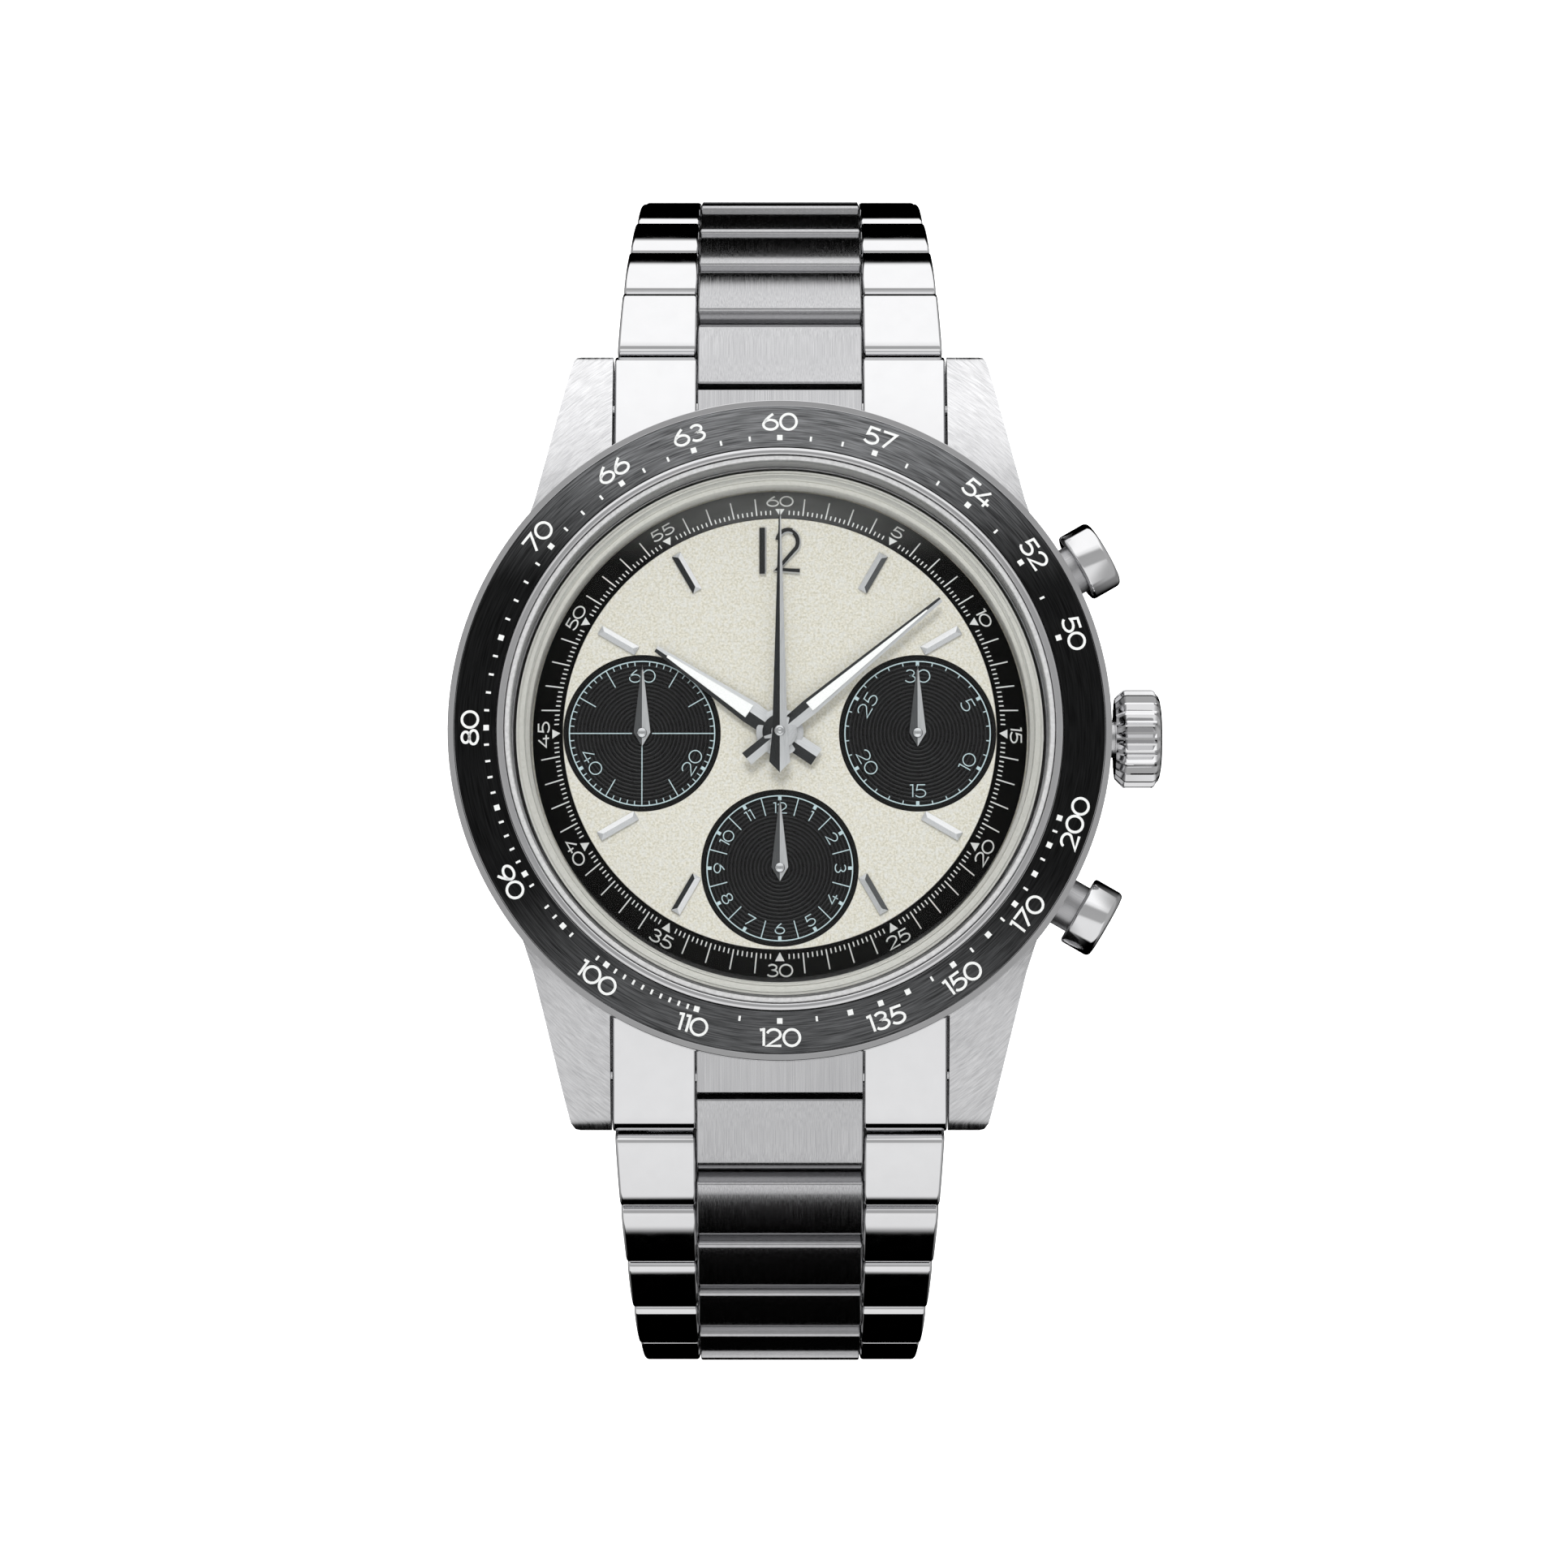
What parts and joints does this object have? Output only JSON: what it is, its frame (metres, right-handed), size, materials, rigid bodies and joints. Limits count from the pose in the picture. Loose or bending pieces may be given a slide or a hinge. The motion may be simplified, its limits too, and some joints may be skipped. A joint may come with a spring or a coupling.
{
  "type": "chronograph wristwatch",
  "caption": "Steel chronograph wristwatch with black tachymeter bezel, cream dial with black counters, side pushers, crown and folding-clasp link bracelet.",
  "frame": {"origin": "centre of the case back's flat outer face, which rests on the wrist", "axes": "+Z out through the dial and crystal, +Y to the 12 on the dial, +X to the crown; right-handed"},
  "size_m": [0.0428, 0.0752, 0.0494],
  "materials": {
    "steel_brushed": "brushed",
    "steel_polished": "polished",
    "steel_satin": "satin",
    "insert_black": "black anodised, printed",
    "crystal_glass": "polished",
    "gasket_plastic": "matte",
    "gasket_rubber": "matte",
    "dial_cream": "fine grained",
    "rehaut_cream": "satin",
    "track_black": "matte",
    "hand_rhodium": "polished facets",
    "brass_movement": "satin"
  },
  "bodies": {
    "case": {"mid_case": "steel_brushed", "case_back": "steel_satin", "case_back_gasket": "gasket_rubber", "bezel_ring": "steel_polished", "tachymeter_insert": "insert_black", "crystal": "crystal_glass", "crystal_gasket": "gasket_plastic", "dial_plate": "dial_cream", "minute_track_ring": "track_black", "rehaut_ring": "rehaut_cream", "movement_ring": "steel_satin", "main_plate": "brass_movement", "train_bridge": "steel_satin", "spring_bar_12": "steel_polished", "spring_bar_6": "steel_polished", "end_link_12": "steel_brushed", "end_link_6": "steel_brushed"},
    "barrel": {"barrel": "brass_movement"},
    "balance": {"balance_wheel": "brass_movement"},
    "hours": {"hour_hand": "hand_rhodium", "hour_wheel": "brass_movement"},
    "minutes": {"minute_hand": "hand_rhodium", "center_wheel": "brass_movement"},
    "chronograph": {"chronograph_seconds_hand": "hand_rhodium", "chronograph_wheel": "brass_movement"},
    "running_seconds": {"running_seconds_hand": "hand_rhodium", "fourth_wheel": "brass_movement"},
    "minute_counter": {"minute_counter_hand": "hand_rhodium", "minute_counter_wheel": "brass_movement"},
    "hour_counter": {"hour_counter_hand": "hand_rhodium", "hour_counter_wheel": "brass_movement"},
    "pinion": {"sliding_pinion": "steel_polished"},
    "crown": {"crown": "steel_polished", "winding_stem": "steel_polished"},
    "start_pusher": {"start_pusher": "steel_polished"},
    "reset_pusher": {"reset_pusher": "steel_polished"},
    "link_12_01": {"link_12_01": "steel_brushed"},
    "link_12_02": {"link_12_02": "steel_brushed"},
    "link_12_03": {"link_12_03": "steel_brushed"},
    "link_12_04": {"link_12_04": "steel_brushed"},
    "link_12_05": {"link_12_05": "steel_brushed"},
    "link_12_06": {"link_12_06": "steel_brushed"},
    "link_12_07": {"link_12_07": "steel_brushed"},
    "link_12_08": {"link_12_08": "steel_brushed"},
    "link_12_09": {"link_12_09": "steel_brushed"},
    "link_12_10": {"link_12_10": "steel_brushed"},
    "link_6_01": {"link_6_01": "steel_brushed"},
    "link_6_02": {"link_6_02": "steel_brushed"},
    "link_6_03": {"link_6_03": "steel_brushed"},
    "link_6_04": {"link_6_04": "steel_brushed"},
    "link_6_05": {"link_6_05": "steel_brushed"},
    "link_6_06": {"link_6_06": "steel_brushed"},
    "link_6_07": {"link_6_07": "steel_brushed"},
    "link_6_08": {"link_6_08": "steel_brushed"},
    "link_6_09": {"link_6_09": "steel_brushed"},
    "link_6_10": {"link_6_10": "steel_brushed", "clasp_spring_bar": "steel_polished"},
    "clasp_base": {"clasp_base": "steel_polished"},
    "clasp_blade": {"clasp_middle_blade": "steel_polished"},
    "clasp_cover": {"clasp_cover": "steel_satin"}
  },
  "joints": [
    {"name": "minute_hand_turn", "type": "hinge", "parent": "case", "child": "minutes", "pos_m": [0, 0, 0.0085], "axis": [0, 0, 1], "continuous": true},
    {"name": "hour_hand_turn", "type": "hinge", "parent": "case", "child": "hours", "pos_m": [0, 0, 0.0081], "axis": [0, 0, 1], "continuous": true},
    {"name": "running_seconds_turn", "type": "hinge", "parent": "case", "child": "running_seconds", "pos_m": [-0.00825, 0, 0.0077], "axis": [0, 0, 1], "continuous": true},
    {"name": "barrel_turn", "type": "hinge", "parent": "case", "child": "barrel", "pos_m": [-0.0042, 0.0076, 0.0044], "axis": [0, 0, 1], "continuous": true},
    {"name": "chronograph_turn", "type": "hinge", "parent": "case", "child": "chronograph", "pos_m": [0, 0, 0.009], "axis": [0, 0, 1], "continuous": true},
    {"name": "minute_counter_turn", "type": "hinge", "parent": "case", "child": "minute_counter", "pos_m": [0.00825, 0, 0.0077], "axis": [0, 0, 1], "continuous": true},
    {"name": "hour_counter_turn", "type": "hinge", "parent": "case", "child": "hour_counter", "pos_m": [0, -0.0081, 0.0077], "axis": [0, 0, 1], "continuous": true},
    {"name": "balance_swing", "type": "hinge", "parent": "case", "child": "balance", "pos_m": [0.0056, -0.0076, 0.0041], "axis": [0, 0, 1], "range_deg": [-135, 135]},
    {"name": "crown_spin", "type": "hinge", "parent": "case", "child": "pinion", "pos_m": [0.0119, 0, 0.0046], "axis": [1, 0, 0], "continuous": true},
    {"name": "crown_pull", "type": "slide", "parent": "pinion", "child": "crown", "axis": [1, 0, 0], "range_m": [0, 0.0012]},
    {"name": "start_pusher_press", "type": "slide", "parent": "case", "child": "start_pusher", "axis": [-0.866, -0.5, 0], "range_m": [0, 0.0009], "stiffness_N_per_m": 800},
    {"name": "reset_pusher_press", "type": "slide", "parent": "case", "child": "reset_pusher", "axis": [-0.866, 0.5, 0], "range_m": [0, 0.0009], "stiffness_N_per_m": 800},
    {"name": "hinge_12_01", "type": "hinge", "parent": "case", "child": "link_12_01", "pos_m": [0, 0.0224, 0.0032], "axis": [1, 0, 0], "range_deg": [0, 15]},
    {"name": "hinge_12_02", "type": "hinge", "parent": "link_12_01", "child": "link_12_02", "pos_m": [0, 0.02686, 0.00093], "axis": [1, 0, 0], "range_deg": [0, 21]},
    {"name": "hinge_12_03", "type": "hinge", "parent": "link_12_02", "child": "link_12_03", "pos_m": [0, 0.0302, -0.00279], "axis": [1, 0, 0], "range_deg": [0, 9]},
    {"name": "hinge_12_04", "type": "hinge", "parent": "link_12_03", "child": "link_12_04", "pos_m": [0, 0.03292, -0.00698], "axis": [1, 0, 0], "range_deg": [0, 7]},
    {"name": "hinge_12_05", "type": "hinge", "parent": "link_12_04", "child": "link_12_05", "pos_m": [0, 0.03512, -0.01147], "axis": [1, 0, 0], "range_deg": [0, 14]},
    {"name": "hinge_12_06", "type": "hinge", "parent": "link_12_05", "child": "link_12_06", "pos_m": [0, 0.03616, -0.01636], "axis": [1, 0, 0], "range_deg": [0, 16]},
    {"name": "hinge_12_07", "type": "hinge", "parent": "link_12_06", "child": "link_12_07", "pos_m": [0, 0.03581, -0.02135], "axis": [1, 0, 0], "range_deg": [0, 17]},
    {"name": "hinge_12_08", "type": "hinge", "parent": "link_12_07", "child": "link_12_08", "pos_m": [0, 0.03401, -0.02602], "axis": [1, 0, 0], "range_deg": [0, 17]},
    {"name": "hinge_12_09", "type": "hinge", "parent": "link_12_08", "child": "link_12_09", "pos_m": [0, 0.03094, -0.02996], "axis": [1, 0, 0], "range_deg": [0, 17]},
    {"name": "hinge_12_10", "type": "hinge", "parent": "link_12_09", "child": "link_12_10", "pos_m": [0, 0.02684, -0.03283], "axis": [1, 0, 0], "range_deg": [0, 17]},
    {"name": "hinge_6_01", "type": "hinge", "parent": "case", "child": "link_6_01", "pos_m": [0, -0.0224, 0.0032], "axis": [-1, 0, 0], "range_deg": [0, 15]},
    {"name": "hinge_6_02", "type": "hinge", "parent": "link_6_01", "child": "link_6_02", "pos_m": [0, -0.02686, 0.00093], "axis": [-1, 0, 0], "range_deg": [0, 21]},
    {"name": "hinge_6_03", "type": "hinge", "parent": "link_6_02", "child": "link_6_03", "pos_m": [0, -0.0302, -0.00279], "axis": [-1, 0, 0], "range_deg": [0, 9]},
    {"name": "hinge_6_04", "type": "hinge", "parent": "link_6_03", "child": "link_6_04", "pos_m": [0, -0.03292, -0.00698], "axis": [-1, 0, 0], "range_deg": [0, 7]},
    {"name": "hinge_6_05", "type": "hinge", "parent": "link_6_04", "child": "link_6_05", "pos_m": [0, -0.03512, -0.01147], "axis": [-1, 0, 0], "range_deg": [0, 14]},
    {"name": "hinge_6_06", "type": "hinge", "parent": "link_6_05", "child": "link_6_06", "pos_m": [0, -0.03616, -0.01636], "axis": [-1, 0, 0], "range_deg": [0, 16]},
    {"name": "hinge_6_07", "type": "hinge", "parent": "link_6_06", "child": "link_6_07", "pos_m": [0, -0.03581, -0.02135], "axis": [-1, 0, 0], "range_deg": [0, 17]},
    {"name": "hinge_6_08", "type": "hinge", "parent": "link_6_07", "child": "link_6_08", "pos_m": [0, -0.03401, -0.02602], "axis": [-1, 0, 0], "range_deg": [0, 17]},
    {"name": "hinge_6_09", "type": "hinge", "parent": "link_6_08", "child": "link_6_09", "pos_m": [0, -0.03094, -0.02996], "axis": [-1, 0, 0], "range_deg": [0, 17]},
    {"name": "hinge_6_10", "type": "hinge", "parent": "link_6_09", "child": "link_6_10", "pos_m": [0, -0.02684, -0.03283], "axis": [-1, 0, 0], "range_deg": [0, 17]},
    {"name": "clasp_base_pivot", "type": "hinge", "parent": "link_12_10", "child": "clasp_base", "pos_m": [0, 0.02209, -0.03437], "axis": [1, 0, 0], "range_deg": [0, 18]},
    {"name": "clasp_blade_fold", "type": "hinge", "parent": "clasp_base", "child": "clasp_blade", "pos_m": [0, -0.016, -0.03422], "axis": [-1, 0, 0], "range_deg": [0, 130]},
    {"name": "clasp_cover_fold", "type": "hinge", "parent": "clasp_blade", "child": "clasp_cover", "pos_m": [0, 0.017, -0.03487], "axis": [1, 0, 0], "range_deg": [0, 130]}
  ],
  "couplings": [
    {"joint": "hour_hand_turn", "follows": "minute_hand_turn", "ratio": 0.083333},
    {"joint": "running_seconds_turn", "follows": "minute_hand_turn", "ratio": 60},
    {"joint": "barrel_turn", "follows": "minute_hand_turn", "ratio": -0.14286},
    {"joint": "minute_counter_turn", "follows": "chronograph_turn", "ratio": 0.033333},
    {"joint": "hour_counter_turn", "follows": "chronograph_turn", "ratio": 0.0013889},
    {"joint": "clasp_blade_fold", "follows": "clasp_cover_fold", "ratio": 1}
  ]
}
